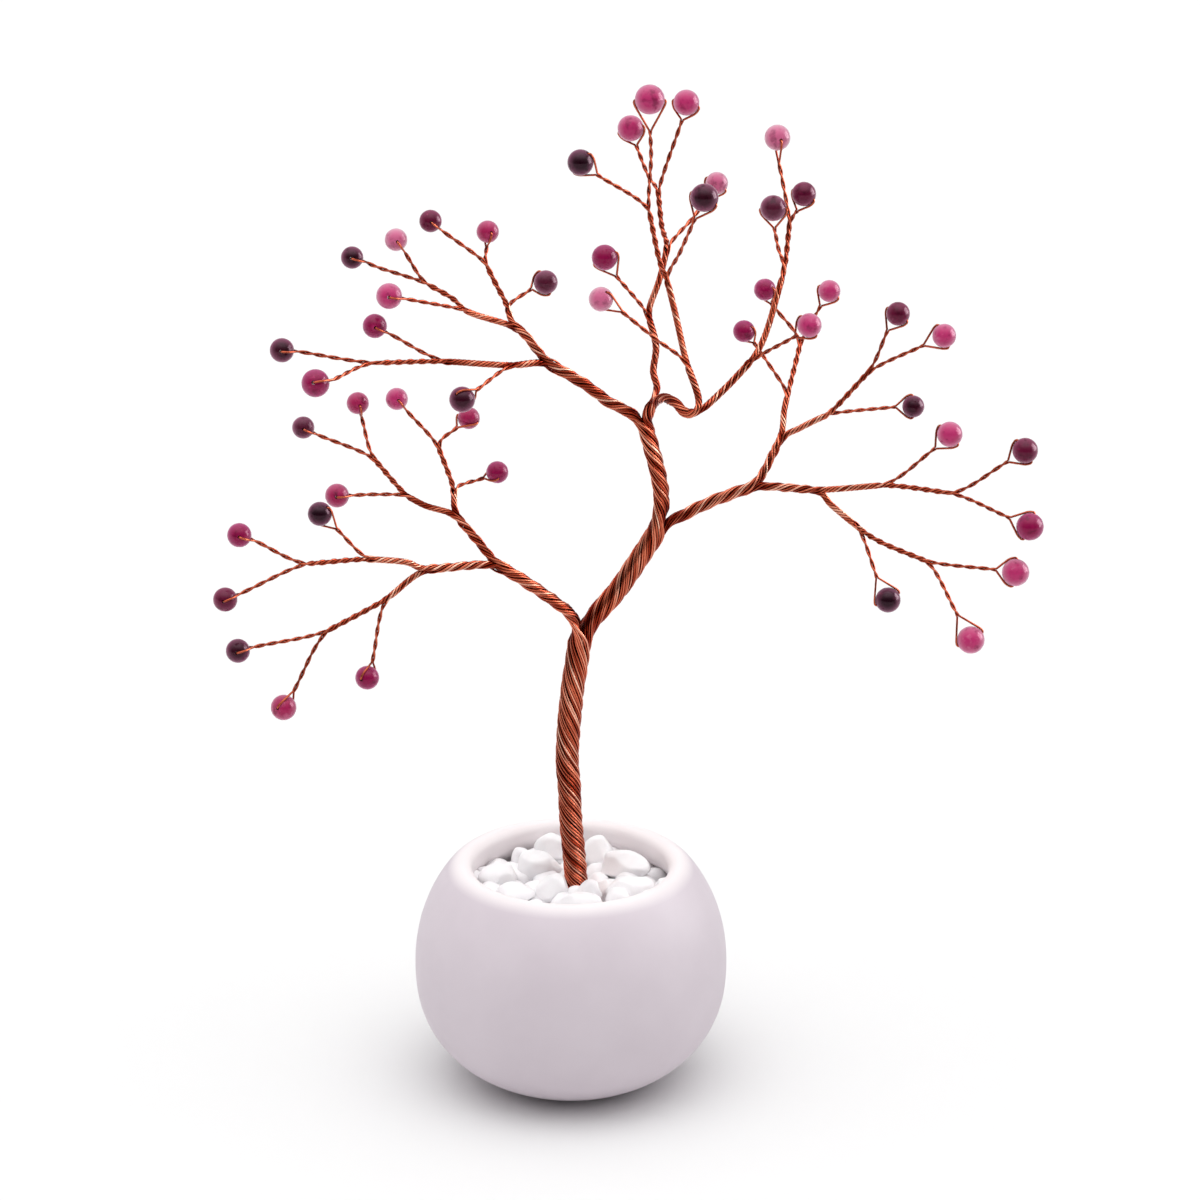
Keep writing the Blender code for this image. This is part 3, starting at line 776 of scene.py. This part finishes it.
def half_loop(reach, size):
    """One side of a loop, from the twig's end to the bead's middle, as (along the hole, back to the twig)."""
    round_bead = size / 2 + WIRE_TO_BEAD + WIRE / 2
    leaves = math.acos(round_bead / reach)
    last = math.acos(HOLE_CORNER / round_bead)
    beside_bead = np.linspace(leaves, last, 9).tolist()
    line = [(round_bead * math.sin(a), round_bead * math.cos(a)) for a in beside_bead]
    corner = line[-1][0] - HOLE_CORNER
    into_hole = np.linspace(0, math.pi / 2, 6).tolist()[1:]
    line += [(corner + HOLE_CORNER * math.cos(a), HOLE_CORNER * (1 - math.sin(a))) for a in into_hole]
    return line + [(0, 0)]


def eased(path, times):
    """The path with its bends made gentler and its ends kept."""
    for _ in range(times):
        path = [path[0]] + [(a + b + c) / 3 for a, b, c in zip(path, path[1:], path[2:])] + [path[-1]]
    return path


def spans_of(path):
    """How far along the path each of its points is."""
    return [0.0, *np.cumsum([(b - a).length for a, b in zip(path, path[1:])]).tolist()]


def round_fork(path, lead, spacing):
    """Leads a path out of its parent, from the point where the wires part, round the fork."""
    spans = spans_of(path)
    join = next(i for i, span in enumerate(spans) if span >= min((path[0] - lead).length, 0.5 * spans[-1]))
    pieces = max(3, math.ceil(((path[0] - lead).length + spans[join]) / spacing))
    shares = [i / pieces for i in range(pieces + 1)]
    bend = [(1 - t) ** 2 * lead + 2 * t * (1 - t) * path[0] + t * t * path[join] for t in shares]
    return bend + path[join + 1:]


def frames_along(path, side):
    """The way of the path and a side of it at each point, with the side carried along and never spun."""
    frames = []
    for i in range(len(path)):
        way = (path[min(i + 1, len(path) - 1)] - path[max(i - 1, 0)]).normalized()
        side = (side - side.dot(way) * way).normalized()
        frames.append((way, side, way.cross(side)))
    return frames


def lay_shoot(shoot, start, before, bundle):
    """Lays a bundle's wires along one shoot, then shares them out among the shoots that grow from it. A
    bundle is its wires' lines so far, their places across it, the turn it has reached, where it was left, a
    side, its pitch and its width."""
    lines, places, turn, lead, side, pitch_before, width_before = bundle
    count = len(lines)
    tip = "loop" in shoot
    width = bundle_width(count)
    pitch = TWIG_PITCH if tip else width * PITCH_TO_WIDTH[count > LIMB_WIRES]
    points = walk(start, shoot["steps"] + [shoot["loop"]] if tip else shoot["steps"])
    if tip:
        centre = points.pop()
        back, reach, hole = loop_plane(shoot)
        points[-1] = centre + reach * back
    spacing = min(LONGEST_STEP, pitch / STEPS_IN_A_TURN)
    path = eased(round_fork(smooth_path(points, before, spacing), lead, spacing), count // 4)
    frames = frames_along(path, side)
    spans = spans_of(path)
    end = spans[-1] - (0 if tip else min(FORK_TO_WIDTH * width, FORK_AT_MOST * spans[-1]))
    merge = min(MERGE_AT_MOST * end, MERGE_TO_WIDTH * width_before)
    middle = places.mean(0)
    held = nearest_slots(places - middle, slots_of(count, pitch, count * 7 + len(path)))
    middle = turned(middle[None], turn)[0].tolist()
    shares = [smoothed(span / merge) for span in spans]
    turns = [turn]
    for i in range(1, len(path)):
        turns.append(turns[-1] - math.tau * (spans[i] - spans[i - 1]) / mix(pitch_before, pitch, shares[i]))
    if tip:
        swing = swing_to(hole, held[0], turns[-1], frames[-1])
        turns = [turn + swing * span / spans[-1] for turn, span in zip(turns, spans)]
    last = 0
    for i in range(1, len(path)):
        if spans[i] > end + NO_LENGTH:
            break
        last = i
        _, side, up = frames[i]
        across = turned(mix(places - places.mean(0), held, shares[i]), turns[i])
        heart = path[i] + (1 - shares[i]) * (middle[0] * side + middle[1] * up)
        for line, (x, y) in zip(lines, across.tolist()):
            line.append((*(heart + x * side + y * up), *path[i], mix(width_before, width, shares[i])))
    if tip:
        finish_loop(lines, shoot, centre, back, reach, hole)
        return
    share_out(shoot, points, frames[last], (lines, held, turns[last], path[last], side, pitch, width))


def mix(a, b, share):
    return a + (b - a) * share


def swing_to(hole, place, turn, frame_there):
    """How much further a twig turns for its two wires to come out on the two sides of the loop."""
    _, side, up = frame_there
    x, y = turned(place[None], turn)[0]
    missing = math.atan2(hole.dot(up), hole.dot(side)) - math.atan2(y, x)
    return (missing + math.pi / 2) % math.pi - math.pi / 2


def finish_loop(lines, shoot, centre, back, reach, hole):
    """Runs the twig's first wire round its side of the bead and through the hole, and back as the second."""
    first, second = lines
    if (Vector(first[-1][:3]) - Vector(second[-1][:3])).dot(hole) < 0:
        first, second = second, first
    there = half_loop(reach, shoot["size"])
    first += [(*(centre + u * hole + v * back), *centre, 0) for u, v in there]
    second += [(*(centre - u * hole + v * back), *centre, 0) for u, v in there[:-1]]
    wires.append(np.array(first + second[::-1]))
    beads.append((centre, hole, shoot["size"]))


def share_out(shoot, points, frame_there, bundle):
    """Gives each shoot the wires on its own side of the bundle, and the first those nearer the viewer."""
    lines, places, turn, *rest = bundle
    _, side, up = frame_there
    ways = []
    for child in shoot["shoots"]:
        steps = child["steps"] + [child["loop"]] if "loop" in child else child["steps"]
        ways.append((walk(points[-1], steps[:2])[-1] - points[-1]).normalized())
    apart = (ways[0] - ways[1]).normalized() - Vector((0, FIRST_IN_FRONT, 0))
    rank = turned(places, turn) @ np.array([apart.dot(side), apart.dot(up)])
    order = np.argsort(-rank, kind="stable")
    first = count_wires(shoot["shoots"][0])
    for child, own in zip(shoot["shoots"], (order[:first], order[first:])):
        lay_shoot(child, points[-1], points[-2], ([lines[k] for k in own], places[own], turn, *rest))


def lay_trunk():
    """The trunk's wires from their buried ends up to the first fork, twisted tighter towards the foot."""
    root = TRUNK_FOOT - Vector((0, 0, ROOT_LENGTH))
    points = [root, *walk(TRUNK_FOOT, TRUNK["steps"])]
    path = eased(smooth_path(points, root - Vector((0, 0, 1 * MM)), LONGEST_STEP), TRUNK_EASING)
    frames = frames_along(path, Vector((1, 0, 0)))
    spans = spans_of(path)
    count = count_wires(TRUNK)
    width = bundle_width(count)
    low = slots_of(count, TRUNK_PITCH[0], 3)
    high = nearest_slots(low, slots_of(count, TRUNK_PITCH[1], 5))
    lines = [[] for _ in range(count)]
    turn, before, last = 0.0, 0.0, 0
    for i, point in enumerate(path):
        if spans[i] > spans[-1] - FORK_TO_WIDTH * width:
            break
        last = i
        _, side, up = frames[i]
        share = smoothed(spans[i] / spans[-1])
        pitch = mix(*TRUNK_PITCH, share)
        turn -= math.tau * (spans[i] - before) / pitch
        before = spans[i]
        places = mix(low, high, smoothed((spans[i] - TRUNK_LOOSENS_FROM) / TRUNK_LOOSENS_OVER))
        for line, (x, y) in zip(lines, turned(places, turn).tolist()):
            line.append((*(point + x * side + y * up), *point, width))
    share_out(TRUNK, points, frames[last], (lines, places, turn, path[last], frames[last][1], pitch, width))


def rings_along(line, outward):
    """Rings of points round a wire's line, each begun at its outward side, and the way each point faces."""
    ahead = np.vstack([line[1:], line[-1:]]) - np.vstack([line[:1], line[:-1]])
    ways = ahead / np.linalg.norm(ahead, axis=1)[:, None]
    sides = np.empty_like(ways)
    side = np.cross(ways[0], (0.3, 0.5, 0.8))
    for i, way in enumerate(ways):
        side = side + 0.5 * outward[i]
        side = side - side.dot(way) * way
        side /= np.linalg.norm(side)
        sides[i] = side
    ups = np.cross(ways, sides)
    angles = np.arange(WIRE_SIDES) * math.tau / WIRE_SIDES
    faces = sides[:, None] * np.cos(angles)[:, None] + ups[:, None] * np.sin(angles)[:, None]
    return line[:, None] + WIRE / 2 * faces, faces


def draw_wires(name, own):
    """Wires as round rods with flat ends. One attribute is 0 where a rod faces out of its bundle, and rises
    to 1 where it faces the wires beside and below it: painted shade, which darkens the copper between the
    wires. The attribute tone is how bright each wire is, which changes slowly along it: a random brightness
    that stands partly for tarnish and partly for painted highlights on the wires that catch the light."""
    chance = random.Random(name)
    points, quads, caps, painted_shades, tones, first = [], [], [], [], [], 0
    for line in own:
        count = len(line)
        place, heart, width = line[:, :3], line[:, 3:6], line[:, 6]
        off = place - heart
        far = np.linalg.norm(off, axis=1)
        bundled = width[:, None] > 0
        outward = np.where(bundled, off / np.maximum(far, NO_LENGTH)[:, None], 0)
        rings, faces = rings_along(place, outward)
        # Painted shade: darkest where a wire's side faces the wires beside and below it, and on wires sunk in
        # the bundle.
        facing = (faces * outward[:, None]).sum(2)
        outer = np.maximum(width / 2 - WIRE / 2, NO_LENGTH)
        sunk = np.clip(SUNK_PAINTED_SHADE * (1 - far / outer), -0.1, 0.25)[:, None]
        full = np.clip(width[:, None] / WIRE / 2 - 0.6, 0, 1)
        painted_shade = np.clip(full * (0.5 - 0.5 * facing + sunk), 0, 1)
        painted_shades.append(np.where(bundled, painted_shade, LOOP_PAINTED_SHADE).ravel())
        spans = np.concatenate([[0], np.cumsum(np.linalg.norm(np.diff(place, axis=0), axis=1))])
        # Partly painted highlight: each half of a wire gets a random brightness, with a slow wave along the
        # bundled wires, standing both for tarnish and for the wires that catch the light.
        own_tone = np.where(spans < spans[-1] / 2, chance.random(), chance.random())
        wave = TONE_WAVE * np.sin(spans / TONE_WAVE_LENGTH + chance.uniform(0, math.tau)) * (width > 3 * WIRE)
        tone = np.where(width > TWIG_AT_MOST, np.clip(own_tone + wave, 0, 1), TWIG_TONE)
        tones.append(np.repeat(tone, WIRE_SIDES))
        points.append(rings.reshape(-1, 3))
        ring = first + WIRE_SIDES * np.arange(count - 1)[:, None]
        near = ring + np.arange(WIRE_SIDES)
        after = ring + (np.arange(WIRE_SIDES) + 1) % WIRE_SIDES
        quads.append(np.stack([near, after, after + WIRE_SIDES, near + WIRE_SIDES], 2).reshape(-1, 4))
        start = list(range(first, first + WIRE_SIDES))
        caps += [start[::-1], [i + (count - 1) * WIRE_SIDES for i in start]]
        first += count * WIRE_SIDES
    mesh = bpy.data.meshes.new(name)
    mesh.from_pydata(np.vstack(points).tolist(), [], np.vstack(quads).tolist() + caps)
    for label, values in (("painted_shade", painted_shades), ("tone", tones)):
        stored = mesh.attributes.new(label, "FLOAT", "POINT").data
        stored.foreach_set("value", np.concatenate(values).astype(np.float32))
    drawn = put_in_scene(name, mesh)
    mesh.shade_smooth()
    return drawn


def bare_copper():
    made, tree, shader = new_material("bare_copper")
    # Brightness by tone, from dark red-brown to a pale pinkish glint colour: partly tarnish and partly
    # painted highlight.
    bright = ramp(tree, attribute(tree, "tone"), [(0.0, (0.34, 0.045, 0.018)), (0.5, (0.80, 0.235, 0.13)),
                                                  (1.0, (1.0, 0.60, 0.45))])
    stained = ramp(tree, noise(tree, 160, 4), [(0.3, (0.72, 0.62, 0.6)), (0.65, (1, 1, 1))])
    # Painted shade: the copper darkens to deep red-brown where the wires face each other, in place of the
    # shade between them.
    deep = ramp(tree, attribute(tree, "painted_shade"), [(0.0, (1, 1, 1)), (0.12, (0.86, 0.70, 0.64)),
                                                  (0.3, (0.44, 0.16, 0.11)), (0.6, (0.16, 0.02, 0.008))])
    shade = mixed(tree, "MULTIPLY", 1.0, mixed(tree, "MULTIPLY", 1.0, bright, stained), deep)
    tree.links.new(shade, shader.inputs["Base Color"])
    uneven_gloss(tree, shader, 700, 4, 0.17, 0.3)
    shader.inputs["Metallic"].default_value = 1.0
    bump(tree, shader, noise(tree, 2600, 3), 0.012 * MM, 0.5)
    return made


wires, beads = [], []
lay_trunk()
copper = bare_copper()
BOUGHS = {"low_left_bough": (0, 12), "high_left_bough": (12, 22), "crown_boughs": (22, 34),
          "right_bough": (34, 46)}
for name, (first, last) in BOUGHS.items():
    bough = draw_wires(name, wires[first:last])
    bough.data.materials.append(copper)
    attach(bough, "root")
    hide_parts("wire_tree")


# The beads. Round beads ground from opaque pink and maroon gemstone, drilled through and polished, each on
# the loop of its own wire. Their colours differ, because the stone is mottled.
BEAD_HOLE = 0.8 * MM
BEAD_CREASE = 50
# Each tone is the stone's colour where it faces the eye, and a paler colour for the painted reflection at its
# edge.
TONES = {
    "pale": ((0.60, 0.13, 0.26), (0.74, 0.42, 0.52)),
    "pink": ((0.50, 0.035, 0.15), (0.68, 0.27, 0.41)),
    "rose": ((0.38, 0.018, 0.09), (0.56, 0.17, 0.29)),
    "magenta": ((0.26, 0.005, 0.06), (0.47, 0.09, 0.23)),
    "wine": ((0.11, 0.005, 0.028), (0.30, 0.065, 0.14)),
    "dusky": ((0.085, 0.010, 0.028), (0.36, 0.12, 0.21)),
    "maroon": ((0.032, 0.003, 0.010), (0.31, 0.085, 0.17)),
    "black": ((0.014, 0.002, 0.006), (0.26, 0.075, 0.15)),
}
STONES = [
    ("rose", "dusky"), ("dusky", "maroon"), ("rose", "pale"), ("magenta", "rose"), ("pink", "pale"),
    ("rose", "magenta"), ("black", "maroon"), ("magenta", "rose"), ("wine", "rose"),
    ("magenta", "rose"), ("maroon", "wine"), ("rose", "pale"), ("dusky", "maroon"), ("wine", "pink"),
    ("rose", "pink"), ("pink", "magenta"), ("pale", "rose"), ("maroon", "dusky"), ("maroon", "wine"),
    ("magenta", "pink"), ("maroon", "dusky"), ("magenta", "pink"), ("magenta", "rose"),
    ("pale", "rose"), ("pink", "magenta"), ("pink", "magenta"), ("pale", "pink"), ("maroon", "pink"),
    ("black", "maroon"), ("pink", "magenta"), ("pink", "pale"), ("dusky", "maroon"), ("wine", "dusky"),
    ("pale", "rose"), ("magenta", "rose"), ("magenta", "pink"), ("pink", "pale"), ("wine", "pink"),
    ("pink", "pale"), ("maroon", "wine"), ("pink", "rose"), ("wine", "rose"), ("magenta", "wine"),
    ("black", "dusky"), ("pink", "pale"), ("pink", "pale"),
]


def drilled_ball():
    """A ball one unit across, its two caps cut away and the openings joined by a straight hole."""
    bpy.ops.object.select_all(action="DESELECT")
    bpy.ops.mesh.primitive_uv_sphere_add(segments=32, ring_count=24, radius=0.5)
    ball = bpy.context.object
    hole = BEAD_HOLE / MEDIUM
    rim = math.sqrt(0.25 - hole * hole / 4)
    bpy.ops.object.mode_set(mode="EDIT")
    for level in (1, -1):
        bpy.ops.mesh.select_all(action="SELECT")
        bpy.ops.mesh.bisect(plane_co=(0, 0, level * rim), plane_no=(0, 0, level), clear_outer=True)
    bpy.ops.mesh.select_all(action="DESELECT")
    bpy.ops.mesh.select_mode(type="EDGE")
    bpy.ops.mesh.select_non_manifold()
    bpy.ops.mesh.bridge_edge_loops()
    bpy.ops.mesh.select_all(action="SELECT")
    bpy.ops.mesh.normals_make_consistent(inside=False)
    bpy.ops.object.mode_set(mode="OBJECT")
    bpy.ops.object.shade_smooth_by_angle(angle=math.radians(BEAD_CREASE))
    return ball


def gemstone(name, tone, patch):
    """Opaque stone, deep in colour where it faces the eye and paler towards its edge, where a painted
    reflection lightens it, and mottled.
    """
    made, tree, shader = new_material(name)
    (core, rim_painted_reflection), (patch_core, patch_rim_painted_reflection) = tone, patch
    dark = tuple(c * 0.5 for c in core)
    mottle = noise(tree, 330, 6, 0.6)
    inner = ramp(tree, mottle, [(0.32, dark), (0.45, core), (0.56, core), (0.72, patch_core)])
    outer = ramp(tree, mottle, [(0.3, core), (0.42, rim_painted_reflection), (0.58, rim_painted_reflection), (0.74, patch_rim_painted_reflection)])
    # Painted reflection: the colour turns paler as the surface slants away from the eye.
    edge = tree.nodes.new("ShaderNodeLayerWeight")
    edge.inputs["Blend"].default_value = 0.5
    painted_reflection_share = ramp(tree, edge.outputs["Facing"], [(0.12, (0, 0, 0)), (0.75, (0.9,) * 3)])
    tree.links.new(mixed(tree, "MIX", painted_reflection_share, inner, outer), shader.inputs["Base Color"])
    uneven_gloss(tree, shader, 1500, 4, 0.12, 0.24)
    shader.inputs["Specular IOR Level"].default_value = 0.3
    shader.inputs["Specular Tint"].default_value = (1.0, 0.62, 0.78, 1)
    bump(tree, shader, noise(tree, 700, 4), 0.06 * MM, 0.35)
    return made


model = drilled_ball()
gem_materials = {}
for number, ((centre, hole, size), (tone, patch)) in enumerate(zip(beads, STONES), 1):
    bead = copied(model)
    bead.name = bead.data.name = f"gem_{number:02d}"
    upright = hole.to_track_quat("Z", "Y").to_matrix().to_4x4()
    bead.data.transform(Matrix.Translation(centre) @ upright @ Matrix.Scale(size, 4))
    if (tone, patch) not in gem_materials:
        gem_materials[tone, patch] = gemstone(f"{tone}_{patch}_stone", TONES[tone], TONES[patch])
    bead.data.materials.append(gem_materials[tone, patch])
    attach(bead, "root")
    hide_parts(f"bead_{number:02d}")
bpy.data.objects.remove(model)


# The stand. A plain white floor under a tent of soft white light, which is open and darker on the side of the
# camera. A softbox on the right gives only the glints.
FLOOR_SIZE = 60
TENT_STRENGTH = 2.75
TENT_SIDES = [
    ((-0.02, -1, -0.4), [(0.0, 1.0), (0.5, 0.3), (0.85, 0.04)]),
    ((0, -0.3, 1), [(0.4, 0.21), (0.75, 0.5), (0.95, 1.0)]),
]
SOFTBOX_PLACE = (0.84, 0.12, 0.42)
SOFTBOX_TARGET = (0, 0, 0.15)
SOFTBOX_WIDTH = 0.6
SOFTBOX_WATTS = 10.0
CAMERA_PLACE = (0.007017, -0.939693, 0.463843)
CAMERA_TILT = 70
CAMERA_LENS = 127.93


def plain_floor():
    bpy.ops.object.select_all(action="DESELECT")
    bpy.ops.mesh.primitive_plane_add(size=FLOOR_SIZE)
    floor = bpy.context.object
    floor.name = "floor"
    made, _, shader = new_material("white_floor")
    shader.inputs["Base Color"].default_value = (0.82, 0.82, 0.82, 1)
    shader.inputs["Roughness"].default_value = 0.9
    shader.inputs["Specular IOR Level"].default_value = 0.1
    floor.data.materials.append(made)


def light_tent():
    world = bpy.data.worlds.new("light_tent")
    bpy.context.scene.world = world
    world.use_nodes = True
    tree = world.node_tree
    where = tree.nodes.new("ShaderNodeTexCoord")
    shades = []
    for way, stops in TENT_SIDES:
        toward = tree.nodes.new("ShaderNodeVectorMath")
        toward.operation = "DOT_PRODUCT"
        toward.inputs[1].default_value = Vector(way).normalized()
        tree.links.new(where.outputs["Generated"], toward.inputs[0])
        shades.append(ramp(tree, toward.outputs["Value"], [(at, (grey,) * 3) for at, grey in stops]))
    background = tree.nodes["Background"]
    background.inputs["Strength"].default_value = TENT_STRENGTH
    tree.links.new(mixed(tree, "MULTIPLY", 1.0, *shades), background.inputs["Color"])


def softbox():
    data = bpy.data.lights.new("softbox", "AREA")
    data.shape = "SQUARE"
    data.size = SOFTBOX_WIDTH
    data.energy = SOFTBOX_WATTS
    lamp = put_in_scene("softbox", data)
    lamp.location = SOFTBOX_PLACE
    lamp.visible_diffuse = False
    way = Vector(SOFTBOX_TARGET) - Vector(SOFTBOX_PLACE)
    lamp.rotation_euler = way.to_track_quat("-Z", "Y").to_euler()


def camera():
    data = bpy.data.cameras.new("camera")
    data.lens = CAMERA_LENS
    data.sensor_width = 36
    data.clip_end = 20
    made = put_in_scene("camera", data)
    made.location = CAMERA_PLACE
    made.rotation_euler = (math.radians(CAMERA_TILT), 0, 0)
    bpy.context.scene.camera = made


plain_floor()
light_tent()
softbox()
camera()
bpy.context.scene.view_settings.view_transform = "Standard"
